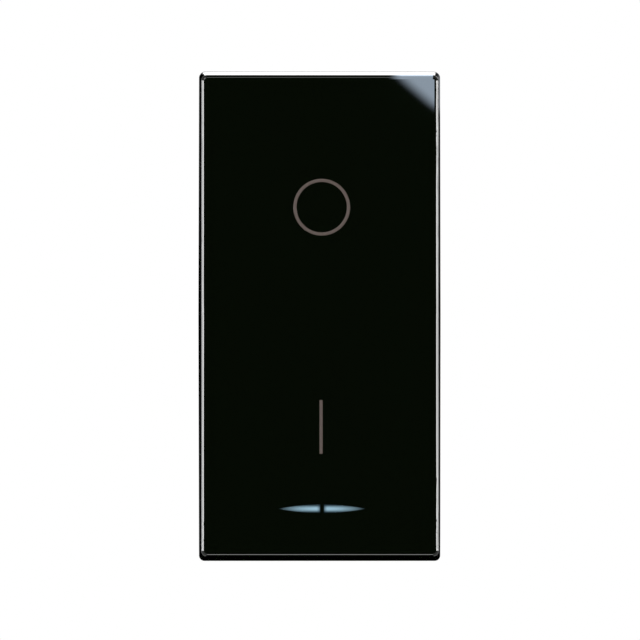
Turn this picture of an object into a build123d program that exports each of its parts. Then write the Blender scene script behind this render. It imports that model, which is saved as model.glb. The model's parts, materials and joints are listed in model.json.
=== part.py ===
from build123d import *
from math import cos, radians, sin, sqrt, tan
import os

# A two-pole rocker switch module, one module wide, for a modular wiring-device frame.
# All sizes are in millimetres. The origin is the middle of the module on the seat, the rear
# face of the collar's flange. +X is to the right, +Z is up and +Y goes into the wall.
# A height is a distance out of the wall from the seat, so it is minus Y.
# The key is at rest with its upper end, O, pressed in: both poles are open.

# Key
key_width = 22.25
key_length = 44.8
key_front = 9.5
key_wall = 1.1
key_face_wall = 1.2
key_corner = 0.5
key_edge_round = 0.4
side_draft = 0.32
end_draft = 0.5
foot_gap = 0.3

# Rocker hinge
tilt = 4.5
hinge_height = 2.5
trunnion_radius = 1.5
bearing_clearance = 0.05
trunnion_setback = 0.1
cheek_pad = 0.2
cheek_radius = 2.4

# Rocker carrier, which hangs from four hooks under the key's face
carrier_side_gap = 0.2
carrier_plate = 1.5
carrier_end_margin = 1.3
carrier_web = 1.2
carrier_web_drop = 2.0
arm_thickness = 1.2
arm_radius = 2.2
hook_x = 4.0
hook_inset = 13.0
hook_width = 3.0
hook_thickness = 1.1
hook_nose = 0.5
hook_nose_length = 0.9
hook_clearance = 0.2
hook_play = 0.05

# Light window in the key, and the clear guide behind it
window_length = 8.0
window_height = 0.75
window_bridge = 0.37
window_inset = 4.8
window_offset = 0.18
window_clearance = 0.02
guide_sink = 0.02
guide_half_width = 5.0
guide_half_length = 1.4
guide_flange = 0.9
guide_stem_width = 6.0
guide_stem_thickness = 2.0
guide_tip_width = 3.2
guide_end = -2.4
pocket_rib = 1.0
pocket_clearance = 0.1
pocket_depth = 1.4
pocket_half_length = 1.1

# Collar
flange_thickness = 1.5
flange_side_inset = 0.1
flange_end_inset = 0.0
flange_corner = 0.5
flange_round = 0.3
seat_ledge = 1.8
collar_wall = 1.1
skirt_depth = 7.0
rim_height = 5.5
rim_thickness = 1.1
rim_side_gap = 0.65
rim_end_gap = 0.8

# Snap tongue at each end of the collar, which grips a support frame from behind
tongue_width = 7.6
tongue_slot = 0.8
tongue_root_height = -0.4
frame_thickness = 2.2
nose_reach = 0.65
nose_length = 2.2
nose_land = 0.5
tongue_cutback = 0.8

# Housing
case_step = 0.6
case_wall = 1.2
partition = 1.2
partition_drop = 0.5
case_corner = 0.6
case_chamfer = 0.5
split_chamfer = 0.2
bay_length = 6.4
bay_rib = 1.2
rib_rise = 0.9
notch_clearance = 0.1
rib_margin = 0.6
entry_inset = 0.15
entry_corner = 0.8
entry_funnel = 0.6
panel_depth = 0.3
panel_margin = 1.4
panel_corner = 0.8
gauge_length = 11.0
gauge_width = 1.2
gauge_depth = 0.3
gauge_z = -6.5

# Housing tongues, which snap into windows in the collar's sides
latch_offset = 10.0
latch_width = 4.0
latch_thickness = 1.15
latch_reach = 4.1
latch_nose = 0.6
latch_nose_length = 1.2
latch_tip = 0.4
latch_land = 0.3
latch_root = 4.0
latch_clearance = 0.05
latch_window_gap = 0.2

# Plungers and their springs
plunger_reach = 13.3
tube_wall = 0.95
tube_reach = 7.0
tube_ceiling = 3.3
plunger_clearance = 0.06
plunger_head = -1.5
tip_radius = 1.0
nose_start = 9.0
pilot_length = 1.5
plunger_travel = 1.0
wire_diameter = 0.36
spring_turns = 5
spring_clearance = 0.12

# Contact levers
lever_thickness = 0.9
lever_roll = 0.75
lever_lift = 0.55
tip_gap = 0.08
lever_end_gap = 0.6
lever_margin = 0.3
lever_tail_gap = 3.6
stop_gap = 0.25
cradle_clearance = 0.05
cradle_thickness = 0.95
cradle_stem = 1.6

# Contacts
contact_radius = 1.6
contact_height = 1.0
contact_dome = 4.0
closed_gap = 0.06
fixed_contact_radius = 1.7
contact_chamfer = 0.2

# Strips and terminals
strip_thickness = 1.0
strip_end_gap = 0.3
line_foot = 2.0
load_margin = 0.4
cage_side_gap = 0.6
cage_end_gap = 0.2
cage_wall = 1.1
cage_rear_wall = 1.6
cage_corner = 0.5
tunnel_clearance = 0.1
wire_gap = 4.6
plate_thickness = 1.0
plate_rear_gap = 0.2
plate_end_gap = 0.2
groove_pitch = 1.4
groove_width = 0.5
groove_depth = 0.3
screw_radius = 1.75
thread_pitch = 0.6
thread_clearance = 0.05
screw_travel = 2.6
screw_head_radius = 2.9
screw_head_height = 1.7
screw_head_gap = 0.2
screw_head_sink = 0.8
screw_head_round = 0.4
screw_end_chamfer = 0.25
screw_turn = 25
slot_width = 0.9
slot_depth = 0.8
cross_length = 3.6
cross_depth = 1.2
well_clearance = 0.3
well_wall = 1.0
pivot_pin_radius = 1.0
pivot_pin_length = 0.5
pin_gap = 0.05
pin_clearance = 0.1

# Lamp unit
lamp_tray_height = -5.2
lamp_tray_thickness = 1.2
board_thickness = 0.8
led_width = 3.2
led_length = 1.6
led_height = 1.1
resistor_width = 6.3
resistor_length = 3.2
resistor_height = 0.6
resistor_gap = 0.8
lead_width = 1.6
lead_thickness = 0.5
lead_foot = 1.5
lead_inset = 0.6
lead_clearance = 0.15
led_chamfer = 0.2
tray_margin = 0.7
tray_overhang = 0.2
tray_clearance = 0.1
tray_leg = 1.2
tray_leg_drop = 2.8
board_inset = 0.1


def facing(height, swing=0.0, across=0.0):
    """A plane seen from the front, through a pivot that lies along X at this height.

    Its first direction is right, its second is up and its third is out of the wall.
    """
    angle = radians(swing)
    return Plane(origin=(across, -height, 0), x_dir=(1, 0, 0), z_dir=(0, -cos(angle), -sin(angle)))


def sideways(height, swing=0.0, across=0.0):
    """A plane seen from the right, through the same pivot.

    Its first direction is up, its second is out of the wall and its third is right.
    """
    angle = radians(swing)
    return Plane(origin=(across, -height, 0), x_dir=(0, -sin(angle), cos(angle)), z_dir=(1, 0, 0))


def block(plane, across, up, out, mode=Mode.ADD):
    """A box in the part that is being made, between two limits along each of a facing plane's directions."""
    corner = Location((across[0], up[0], out[0]))
    with Locations(plane.location * corner):
        Box(
            across[1] - across[0],
            up[1] - up[0],
            out[1] - out[0],
            align=(Align.MIN, Align.MIN, Align.MIN),
            mode=mode,
        )


def rod(plane, radius, centre, out, mode=Mode.ADD):
    """A cylinder in the part that is being made, along a plane's third direction."""
    start = Location((centre[0], centre[1], out[0]))
    with Locations(plane.location * start):
        Cylinder(radius, out[1] - out[0], align=(Align.CENTER, Align.CENTER, Align.MIN), mode=mode)


def about(centre, half):
    """The two limits that lie half a width to each side of a centre."""
    return (centre - half, centre + half)


def finish(solid, name):
    """Label a finished piece and write it as its own file."""
    solid.label = name
    export_step(solid, f"parts/{name}.step")


os.makedirs("parts", exist_ok=True)

seat_front = facing(0)
seat_side = sideways(0)
rocker_front = facing(hinge_height, -tilt)
rocker_side = sideways(hinge_height, -tilt)
lever_swing = 2 * tilt
sides = {"left": -1, "right": 1}
ends = {"lower": -1, "upper": 1}

# Outline of the collar and the housing, from the key
flange_width = key_width - 2 * flange_side_inset
flange_length = key_length - 2 * flange_end_inset
collar_length = flange_length - 2 * seat_ledge
case_width = flange_width
case_length = collar_length - 2 * case_step
collar_inner_x = flange_width / 2 - collar_wall
collar_inner_z = collar_length / 2 - collar_wall
case_inner_x = case_width / 2 - case_wall
case_inner_z = case_length / 2 - case_wall
rim_outer_x = key_width / 2 - key_wall - rim_side_gap
rim_outer_z = key_length / 2 - key_wall - rim_end_gap
rim_inner_x = rim_outer_x - rim_thickness
cheek_inner = rim_inner_x - cheek_pad
carrier_half_width = cheek_inner - carrier_side_gap

# Pole chambers and terminal bays
chamber_width = case_inner_x - partition / 2
pole_x = partition / 2 + chamber_width / 2
bay_inner = case_inner_z - bay_length
rib_inner = bay_inner - bay_rib
bay_z = bay_inner + bay_length / 2
cage_width = chamber_width - 2 * cage_side_gap
tunnel_width = cage_width - 2 * cage_wall
strip_width = tunnel_width - 2 * tunnel_clearance

# Levers: the pivot lies behind the plunger's tip, and each fixed contact just behind the closed dome
lever_pivot = hinge_height - plunger_reach - tip_gap - lever_lift - lever_thickness
contact_arm = rib_inner - lever_end_gap - lever_margin - contact_radius
lever_nose = contact_arm + contact_radius + lever_margin
lever_tail = rib_inner - lever_tail_gap
dome_centre = lever_lift - contact_height + contact_dome
closed = radians(lever_swing)
closed_dome_z = contact_arm * cos(closed) + dome_centre * sin(closed)
closed_dome_height = lever_pivot - contact_arm * sin(closed) + dome_centre * cos(closed) - contact_dome
fixed_face = closed_dome_height - closed_gap
strip_front = fixed_face - contact_height
strip_rear = strip_front - strip_thickness

# Terminals, from the strip towards the rear
cage_inner_front = strip_front + tunnel_clearance
cage_front = cage_inner_front + cage_wall
plate_front = strip_rear - wire_gap
plate_rear = plate_front - plate_thickness
cage_inner_rear = plate_rear - plate_rear_gap
cage_rear = cage_inner_rear - cage_rear_wall
head_front = cage_rear - screw_travel - screw_head_gap
head_rear = head_front - screw_head_height
case_rear = head_rear - screw_head_sink
case_floor = case_rear + case_wall
well_radius = screw_head_radius + well_clearance

# Key, measured from the hinge
face_level = key_front - hinge_height
underside = face_level - key_face_wall
foot_middle = flange_thickness + foot_gap - hinge_height
foot_end = foot_middle + tan(radians(tilt)) * key_length / 2
window_z = -(key_length / 2 - window_inset)
window_place = rocker_front.offset(underside) * Pos(window_offset, window_z, 0)
hook_z = key_length / 2 - hook_inset


def key_section(level, wall):
    """Width and length of the key at a level over the hinge, inside a wall of this thickness.

    The sides lean in from the foot's middle up to the face, the ends from the foot's two ends.
    """
    side_lean = side_draft * (level - foot_middle) / (face_level - foot_middle)
    end_lean = end_draft * (level - foot_end) / (face_level - foot_end)
    return key_width - 2 * side_lean - 2 * wall, key_length - 2 * end_lean - 2 * wall


def lens_outline(grow):
    """Faces of the light window: a long lens with a narrow bridge left out of its middle."""
    half_length = window_length / 2 + grow
    half_height = window_height / 2 + grow
    with BuildSketch(Plane.XY) as lens:
        with BuildLine(Plane.XY):
            ThreePointArc((-half_length, 0), (0, half_height), (half_length, 0))
            ThreePointArc((half_length, 0), (0, -half_height), (-half_length, 0))
        make_face()
        Rectangle(window_bridge - 2 * grow, window_height * 2, mode=Mode.SUBTRACT)
    return lens.sketch


def span(side, near, far):
    """The two limits from near to far of the middle, on one side of it."""
    return (near, far) if side > 0 else (-far, -near)


# Key cover: a drafted shell whose foot slopes up from the middle to both ends
hook_foot = underside - carrier_plate - hook_play - hook_nose_length

with BuildPart() as key_cover:
    with BuildSketch(rocker_front.offset(foot_middle)):
        RectangleRounded(*key_section(foot_middle, 0), key_corner)
    with BuildSketch(rocker_front.offset(face_level)):
        RectangleRounded(*key_section(face_level, 0), key_corner)
    loft(ruled=True)
    out_of_key = Axis(rocker_front.origin, rocker_front.z_dir)
    fillet(key_cover.faces().sort_by(out_of_key)[-1].edges(), key_edge_round)
    with BuildSketch(rocker_front.offset(foot_middle)):
        Rectangle(*key_section(foot_middle, key_wall))
    with BuildSketch(rocker_front.offset(underside)):
        Rectangle(*key_section(underside, key_wall))
    loft(ruled=True, mode=Mode.SUBTRACT)
    with BuildSketch(rocker_side):
        slope_end = foot_middle + 2 * (foot_end - foot_middle)
        Polygon(
            (-key_length, foot_middle - foot_gap),
            (key_length, foot_middle - foot_gap),
            (key_length, slope_end),
            (0, foot_middle),
            (-key_length, slope_end),
            align=None,
        )
    extrude(amount=key_width, both=True, mode=Mode.SUBTRACT)
    for side in sides.values():
        pocket_x = guide_half_width + pocket_clearance
        block(
            rocker_front,
            span(side, pocket_x, pocket_x + pocket_rib),
            about(window_z, pocket_half_length),
            (underside - pocket_depth, underside),
        )
        for end in ends.values():
            block(
                rocker_front,
                about(side * hook_x, hook_width / 2),
                span(end, hook_z, hook_z + hook_thickness),
                (hook_foot, underside),
            )
            block(
                rocker_front,
                about(side * hook_x, hook_width / 2),
                span(end, hook_z + hook_thickness, hook_z + hook_thickness + hook_nose),
                (hook_foot, hook_foot + hook_nose_length),
            )
    window_cut = window_place * lens_outline(window_clearance)
    extrude(window_cut, amount=2 * key_face_wall, mode=Mode.SUBTRACT)
finish(key_cover.part, "key_cover")

# Light guide: two prongs that fill the window, a flange under the key's face and a tapering stem
with BuildPart() as light_guide:
    block(
        rocker_front,
        about(0, guide_half_width),
        about(window_z, guide_half_length),
        (underside - guide_flange, underside),
    )
    extrude(window_place * lens_outline(0), amount=key_face_wall - guide_sink)
    with BuildSketch(rocker_front.offset(underside - guide_flange)):
        with Locations((0, window_z)):
            Rectangle(guide_stem_width, guide_stem_thickness)
    with BuildSketch(rocker_front.offset(guide_end)):
        with Locations((0, window_z)):
            Rectangle(guide_tip_width, guide_stem_thickness)
    loft(ruled=True)
finish(light_guide.part, "light_guide")

# Rocker carrier: plate, two arms with the trunnions, and the two spring tubes
carrier_half_length = hook_z + hook_thickness + hook_nose + hook_clearance + carrier_end_margin
plate_level = underside - carrier_plate
tube_radius = carrier_half_width - pole_x
tube_bore = tube_radius - tube_wall
trunnion_end = rim_outer_x - trunnion_setback

with BuildPart() as rocker_carrier:
    with BuildSketch(rocker_front.offset(plate_level)):
        Rectangle(2 * carrier_half_width, 2 * carrier_half_length)
        window_middle = hook_z + (hook_thickness + hook_nose) / 2
        with GridLocations(2 * hook_x, 2 * window_middle, 2, 2):
            Rectangle(
                hook_width + 2 * hook_clearance,
                hook_thickness + hook_nose + 2 * hook_clearance,
                mode=Mode.SUBTRACT,
            )
    extrude(amount=carrier_plate)
    block(rocker_front, (-pole_x, pole_x), about(0, carrier_web / 2), (-carrier_web_drop, plate_level))
    block(
        rocker_front,
        about(0, carrier_web / 2),
        about(0, carrier_half_length),
        (plate_level - carrier_web_drop, plate_level),
    )
    for side in sides.values():
        arm = span(side, carrier_half_width - arm_thickness, carrier_half_width)
        block(rocker_front, arm, about(0, arm_radius), (0, plate_level))
        rod(rocker_side, arm_radius, (0, 0), arm)
        rod(rocker_side, trunnion_radius, (0, 0), span(side, carrier_half_width, trunnion_end))
        rod(rocker_front, tube_radius, (side * pole_x, 0), (-tube_reach, plate_level))
    for side in sides.values():
        rod(rocker_front, tube_bore, (side * pole_x, 0), (-tube_reach, tube_ceiling), Mode.SUBTRACT)
finish(rocker_carrier.part, "rocker_carrier")

# Plungers and springs
plunger_radius = tube_bore - plunger_clearance
coil_radius = tube_bore - spring_clearance - wire_diameter / 2
pilot_radius = coil_radius - wire_diameter / 2 - spring_clearance


def make_plunger(name, across):
    """A turned pin with a round tip, a cone, a guided body and a pilot for its spring."""
    profile = sideways(hinge_height, -tilt, across)
    tip_level = tip_radius - plunger_reach
    slant = tip_radius * sqrt(0.5)
    with BuildPart() as plunger:
        with BuildSketch(profile):
            with BuildLine(Plane.XY):
                ThreePointArc((0, -plunger_reach), (slant, tip_level - slant), (tip_radius, tip_level))
                Polyline(
                    (tip_radius, tip_level),
                    (tip_radius, -nose_start - (plunger_radius - tip_radius)),
                    (plunger_radius, -nose_start),
                    (plunger_radius, plunger_head),
                    (pilot_radius, plunger_head),
                    (pilot_radius, plunger_head + pilot_length),
                    (0, plunger_head + pilot_length),
                    (0, -plunger_reach),
                )
            make_face()
        revolve(axis=Axis(profile.origin, profile.y_dir))
    finish(plunger.part, name)


def make_plunger_spring(name, across):
    """A round-wire compression spring between the plunger's head and the tube's ceiling."""
    seat = facing(hinge_height, -tilt, across).offset(plunger_head + wire_diameter / 2)
    height = tube_ceiling - plunger_head - wire_diameter
    pitch = height / spring_turns
    with BuildPart() as plunger_spring:
        with BuildLine(Plane.XY):
            coil = Helix(pitch, height, coil_radius, center=seat.origin, direction=seat.z_dir)
        with BuildSketch(Plane(origin=coil @ 0, z_dir=coil % 0)):
            Circle(wire_diameter / 2)
        sweep(path=coil, is_frenet=True)
    finish(plunger_spring.part, name)
    return pitch - wire_diameter


# Contact levers: a plate on a rolled bearing, with a foot that stops it, and a domed contact
stop_level = (strip_front + stop_gap - lever_pivot + lever_tail * sin(closed)) / cos(closed)


def make_contact_lever(name, across):
    """A see-saw lever that the plunger's tip rocks on its rolled bearing."""
    with BuildPart() as contact_lever:
        with BuildSketch(sideways(lever_pivot, lever_swing, across)):
            Circle(lever_roll)
            Polygon(
                (-lever_tail, stop_level),
                (-lever_tail + lever_thickness, stop_level),
                (-lever_tail + lever_thickness, lever_lift),
                (lever_nose, lever_lift),
                (lever_nose, lever_lift + lever_thickness),
                (-lever_tail, lever_lift + lever_thickness),
                align=None,
            )
        extrude(amount=strip_width / 2, both=True)
    finish(contact_lever.part, name)


def make_moving_contact(name, across):
    """A domed button on the rear of the lever's upper arm."""
    lever_front = facing(lever_pivot, lever_swing, across)
    with BuildPart() as moving_contact:
        rod(lever_front, contact_radius, (0, contact_arm), (lever_lift - contact_height, lever_lift))
        with Locations(lever_front.location * Location((0, contact_arm, dome_centre))):
            Sphere(contact_dome, mode=Mode.INTERSECT)
    finish(moving_contact.part, name)


def make_fixed_contact(name, across):
    """A flat button on the load strip, just behind the closed dome."""
    with BuildPart() as fixed_contact:
        rod(seat_front, fixed_contact_radius, (across, closed_dome_z), (strip_front, fixed_face))
        chamfer(fixed_contact.faces().sort_by(Axis.Y)[0].edges(), contact_chamfer)
    finish(fixed_contact.part, name)


# Strips
tab_end = case_inner_z - strip_end_gap
load_start = closed_dome_z - fixed_contact_radius - load_margin


def make_line_strip(name, across):
    """A strip from the lower terminal to the cradle that the lever rocks in."""
    front = strip_front - lever_pivot
    inner = lever_roll + cradle_clearance
    outer = inner + cradle_thickness
    with BuildPart() as line_strip:
        with BuildSketch(sideways(lever_pivot, 0, across)):
            Circle(outer)
            with Locations((0, front / 2)):
                Rectangle(cradle_stem, -front)
            with Locations((0, outer / 2)):
                Rectangle(3 * outer, outer, mode=Mode.SUBTRACT)
            Circle(inner, mode=Mode.SUBTRACT)
            with Locations(((line_foot - tab_end) / 2, front - strip_thickness / 2)):
                Rectangle(line_foot + tab_end, strip_thickness)
        extrude(amount=strip_width / 2, both=True)
    finish(line_strip.part, name)


def make_load_strip(name, across):
    """A flat strip from the fixed contact to the upper terminal, narrowed between the two."""
    with BuildPart() as load_strip:
        block(seat_front, about(across, strip_width / 2), (load_start, tab_end), (strip_rear, strip_front))
    finish(load_strip.part, name)


for side_name, side in sides.items():
    across = side * pole_x
    make_plunger(f"plunger_{side_name}", across)
    coil_gap = make_plunger_spring(f"plunger_spring_{side_name}", across)
    make_contact_lever(f"contact_lever_{side_name}", across)
    make_moving_contact(f"moving_contact_{side_name}", across)
    make_fixed_contact(f"fixed_contact_{side_name}", across)
    make_line_strip(f"line_strip_{side_name}", across)
    make_load_strip(f"load_strip_{side_name}", across)
print(f"Least gap between a spring's turns: {coil_gap:.2f} mm")

# Terminals: cage, pressure plate and screw, at the two ends of both poles
cage_length = bay_length - 2 * cage_end_gap
plate_length = cage_length - 2 * plate_end_gap
pin_front = plate_rear - pin_gap


def make_terminal_cage(name, across, up):
    """A box clamp: a tunnel for the wire, open at both ends, with a threaded rear wall."""
    with BuildPart() as terminal_cage:
        block(seat_front, about(across, cage_width / 2), about(up, cage_length / 2), (cage_rear, cage_front))
        fillet(terminal_cage.edges().filter_by(Axis.Z), cage_corner)
        block(
            seat_front,
            about(across, tunnel_width / 2),
            about(up, cage_length / 2),
            (cage_inner_rear, cage_inner_front),
            Mode.SUBTRACT,
        )
        thread = screw_radius + thread_clearance
        rod(seat_front, thread, (across, up), (cage_rear, cage_inner_rear), Mode.SUBTRACT)
    finish(terminal_cage.part, name)


def make_pressure_plate(name, across, up):
    """A grooved plate that slides in the cage, with a socket for the screw's end."""
    with BuildPart() as pressure_plate:
        plate_across = about(across, strip_width / 2)
        block(seat_front, plate_across, about(up, plate_length / 2), (plate_rear, plate_front))
        for groove in range(-1, 2):
            block(
                seat_front,
                plate_across,
                about(up + groove * groove_pitch, groove_width / 2),
                (plate_front - groove_depth, plate_front),
                Mode.SUBTRACT,
            )
        socket = pivot_pin_radius + pin_clearance
        rod(seat_front, socket, (across, up), (plate_rear, plate_rear + pivot_pin_length), Mode.SUBTRACT)
    finish(pressure_plate.part, name)


def make_terminal_screw(name, across, up, turn):
    """A screw with a slot and a cross in its head, and a pin that turns in the pressure plate."""
    angle = radians(turn)
    drive = Plane(origin=(across, -head_rear, up), x_dir=(cos(angle), 0, sin(angle)), z_dir=(0, -1, 0))
    head_height = head_front - head_rear
    shank_end = pin_front - head_rear
    with BuildPart() as terminal_screw:
        rod(drive, screw_head_radius, (0, 0), (0, head_height))
        fillet(terminal_screw.faces().sort_by(Axis.Y)[-1].edges(), screw_head_round)
        rod(drive, screw_radius, (0, 0), (head_height, shank_end))
        chamfer(terminal_screw.faces().sort_by(Axis.Y)[0].edges(), screw_end_chamfer)
        rod(drive, pivot_pin_radius, (0, 0), (shank_end, shank_end + pivot_pin_length))
        slot = about(0, slot_width / 2)
        block(drive, about(0, screw_head_radius), slot, (0, slot_depth), Mode.SUBTRACT)
        block(drive, slot, about(0, cross_length / 2), (0, cross_depth), Mode.SUBTRACT)
        block(drive, about(0, cross_length / 2), slot, (0, cross_depth), Mode.SUBTRACT)
    finish(terminal_screw.part, name)


for end_name, end in ends.items():
    for side_name, side in sides.items():
        corner_name = f"{end_name}_{side_name}"
        across = side * pole_x
        up = end * bay_z
        make_terminal_cage(f"terminal_cage_{corner_name}", across, up)
        make_pressure_plate(f"pressure_plate_{corner_name}", across, up)
        make_terminal_screw(f"terminal_screw_{corner_name}", across, up, screw_turn * side * end)

# Housing: a rear case with two pole chambers, ribs under the strips, wire entries and screw wells,
# sunk panels on its sides and rear, and a groove as long as a wire's end is stripped
entry_width = tunnel_width - 2 * entry_inset
entry_height = wire_gap - 2 * entry_inset
latch_outer = collar_inner_x - latch_clearance
latch_top = latch_reach - skirt_depth
latch_nose_front = latch_top - latch_tip
latch_nose_rear = latch_nose_front - latch_nose_length
panel_length = 2 * (bay_z - well_radius - panel_margin)
side_panel_height = -case_rear - skirt_depth - 2 * (case_chamfer + panel_margin)

with BuildPart() as housing:
    with BuildSketch(seat_front.offset(case_rear)):
        RectangleRounded(case_width, case_length, case_corner)
    extrude(amount=-skirt_depth - case_rear)
    chamfer(housing.faces().sort_by(Axis.Y)[-1].edges(), case_chamfer)
    chamfer(housing.faces().sort_by(Axis.Y)[0].edges(), split_chamfer)
    for side in sides.values():
        chamber = about(side * pole_x, chamber_width / 2)
        block(seat_front, chamber, about(0, case_inner_z), (case_floor, -skirt_depth), Mode.SUBTRACT)
    middle = about(0, partition / 2)
    crest_foot = -skirt_depth - partition_drop
    block(seat_front, middle, about(0, case_inner_z), (crest_foot, -skirt_depth), Mode.SUBTRACT)
    block(seat_front, middle, (-case_inner_z, -rib_inner), (crest_foot, lamp_tray_height))
    for side in sides.values():
        across = side * pole_x
        chamber = about(across, chamber_width / 2)
        for end in ends.values():
            up = end * bay_z
            rib = span(end, rib_inner, bay_inner)
            notch = about(across, strip_width / 2 + notch_clearance)
            block(seat_front, chamber, rib, (case_floor, strip_front + rib_rise))
            block(seat_front, notch, rib, (strip_rear, strip_front + rib_rise), Mode.SUBTRACT)
            rod(seat_front, well_radius + well_wall, (across, up), (case_floor, cage_rear))
            rod(seat_front, well_radius, (across, up), (case_rear, cage_rear), Mode.SUBTRACT)
            entry = Plane(
                origin=(across, wire_gap / 2 - strip_rear, end * case_length / 2),
                x_dir=(1, 0, 0),
                z_dir=(0, 0, end),
            )
            with BuildSketch(entry.offset(-case_wall)):
                RectangleRounded(entry_width, entry_height, entry_corner)
            with BuildSketch(entry):
                mouth = 2 * entry_funnel
                RectangleRounded(entry_width + mouth, entry_height + mouth, entry_corner)
            loft(ruled=True, mode=Mode.SUBTRACT)
            latch_z = end * latch_offset
            block(
                seat_front,
                span(side, latch_outer - latch_thickness, latch_outer),
                about(latch_z, latch_width / 2),
                (-skirt_depth, latch_top),
            )
            block(
                seat_front,
                span(side, latch_outer - latch_thickness, case_inner_x + latch_clearance),
                about(latch_z, latch_width / 2),
                (-skirt_depth - latch_root, -skirt_depth),
            )
            with BuildSketch(Plane(origin=(0, 0, latch_z), x_dir=(1, 0, 0), z_dir=(0, 0, -1))):
                Polygon(
                    (side * latch_outer, latch_nose_front),
                    (side * (latch_outer + latch_nose), latch_nose_rear + latch_land),
                    (side * (latch_outer + latch_nose), latch_nose_rear),
                    (side * latch_outer, latch_nose_rear),
                    align=None,
                )
            extrude(amount=latch_width / 2 - latch_window_gap, both=True)
        for support in (0, load_start + rib_margin):
            block(seat_front, chamber, about(support, bay_rib / 2), (case_floor, strip_rear))
        side_panel = span(side, case_width / 2 - panel_depth, case_width / 2)
        with BuildSketch(seat_side.offset(min(side_panel))):
            with Locations((0, (case_rear - skirt_depth) / 2)):
                RectangleRounded(panel_length, side_panel_height, panel_corner)
        extrude(amount=panel_depth, mode=Mode.SUBTRACT)
    with BuildSketch(seat_front.offset(case_rear)):
        RectangleRounded(case_width - 2 * (case_chamfer + panel_margin), panel_length, panel_corner)
    extrude(amount=panel_depth, mode=Mode.SUBTRACT)
    with BuildSketch(seat_front.offset(case_rear + panel_depth)):
        with Locations((0, gauge_z)):
            SlotOverall(gauge_length, gauge_width)
    extrude(amount=gauge_depth, mode=Mode.SUBTRACT)
finish(housing.part, "housing")

# Collar: flange, skirt, upstand rim with the hinge bearings, end snap tongues and latch windows
bearing = trunnion_radius + bearing_clearance

with BuildPart() as front_collar:
    with BuildSketch(seat_front):
        RectangleRounded(flange_width, flange_length, flange_corner)
    extrude(amount=flange_thickness)
    fillet(front_collar.faces().sort_by(Axis.Y)[0].edges(), flange_round)
    block(seat_front, about(0, flange_width / 2), about(0, collar_length / 2), (-skirt_depth, 0))
    block(seat_front, about(0, rim_outer_x), about(0, rim_outer_z), (flange_thickness, rim_height))
    block(seat_front, about(0, collar_inner_x), about(0, collar_inner_z), (-skirt_depth, 0), Mode.SUBTRACT)
    block(seat_front, about(0, rim_inner_x), about(0, collar_inner_z), (0, rim_height), Mode.SUBTRACT)
    for side in sides.values():
        rod(seat_side, cheek_radius, (0, hinge_height), span(side, cheek_inner, rim_inner_x))
        rod(seat_side, bearing, (0, hinge_height), span(side, cheek_inner, rim_outer_x), Mode.SUBTRACT)
    for end in ends.values():
        end_wall = span(end, collar_inner_z, collar_length / 2)
        for side in sides.values():
            slot = span(side, tongue_width / 2, tongue_width / 2 + tongue_slot)
            block(seat_front, slot, end_wall, (-skirt_depth, tongue_root_height), Mode.SUBTRACT)
            block(
                seat_front,
                span(side, latch_outer, flange_width / 2),
                about(end * latch_offset, latch_width / 2),
                (latch_nose_rear - latch_window_gap, latch_nose_front + latch_window_gap),
                Mode.SUBTRACT,
            )
        block(
            seat_front,
            about(0, tongue_width / 2),
            end_wall,
            (-skirt_depth, tongue_cutback - skirt_depth),
            Mode.SUBTRACT,
        )
        with BuildSketch(seat_side):
            Polygon(
                (end * collar_length / 2, -frame_thickness),
                (end * (collar_length / 2 + nose_reach), -frame_thickness),
                (end * (collar_length / 2 + nose_reach), -frame_thickness - nose_land),
                (end * collar_length / 2, -frame_thickness - nose_length),
                align=None,
            )
        extrude(amount=tongue_width / 2 - tongue_slot, both=True)
finish(front_collar.part, "front_collar")

# Lamp unit: a tray that straddles the partition, a board on it, and two leads to the line strips
tray_top = lamp_tray_height + lamp_tray_thickness
board_top = tray_top + board_thickness
tray_half_width = pole_x + lead_width / 2 + lead_clearance + tray_margin
tray_span = (-(case_inner_z + tray_overhang), -(rib_inner - lead_inset - tray_margin))
lead_z = lead_inset - rib_inner

with BuildPart() as lamp_holder:
    block(seat_front, about(0, tray_half_width), tray_span, (lamp_tray_height, tray_top))
    for side in sides.values():
        block(
            seat_front,
            span(side, partition / 2 + tray_clearance, partition / 2 + tray_clearance + tray_leg),
            (-case_inner_z + tray_clearance, -bay_inner),
            (lamp_tray_height - tray_leg_drop, lamp_tray_height),
        )
        block(
            seat_front,
            about(side * pole_x, lead_width / 2 + lead_clearance),
            about(lead_z, lead_thickness / 2 + lead_clearance),
            (lamp_tray_height, tray_top),
            Mode.SUBTRACT,
        )
finish(lamp_holder.part, "lamp_holder")

with BuildPart() as lamp_board:
    board_up = (tray_span[0] + board_inset, tray_span[1] - board_inset)
    block(seat_front, about(0, tray_half_width - board_inset), board_up, (tray_top, board_top))
finish(lamp_board.part, "lamp_board")

with BuildPart() as led:
    block(
        seat_front,
        about(0, led_width / 2),
        about(window_z, led_length / 2),
        (board_top, board_top + led_height),
    )
    chamfer(led.faces().sort_by(Axis.Y)[0].edges(), led_chamfer)
finish(led.part, "led")

with BuildPart() as lamp_resistor:
    resistor_up = window_z + led_length / 2 + resistor_gap + resistor_length / 2
    block(
        seat_front,
        about(0, resistor_width / 2),
        about(resistor_up, resistor_length / 2),
        (board_top, board_top + resistor_height),
    )
finish(lamp_resistor.part, "lamp_resistor")

for side_name, side in sides.items():
    with BuildPart() as lamp_lead:
        lead_across = about(side * pole_x, lead_width / 2)
        block(seat_front, lead_across, about(lead_z, lead_thickness / 2), (strip_front, tray_top))
        block(
            seat_front,
            lead_across,
            (lead_z - lead_thickness / 2, lead_z - lead_thickness / 2 + lead_foot),
            (strip_front, strip_front + lead_thickness),
        )
    finish(lamp_lead.part, f"lamp_lead_{side_name}")

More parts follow.
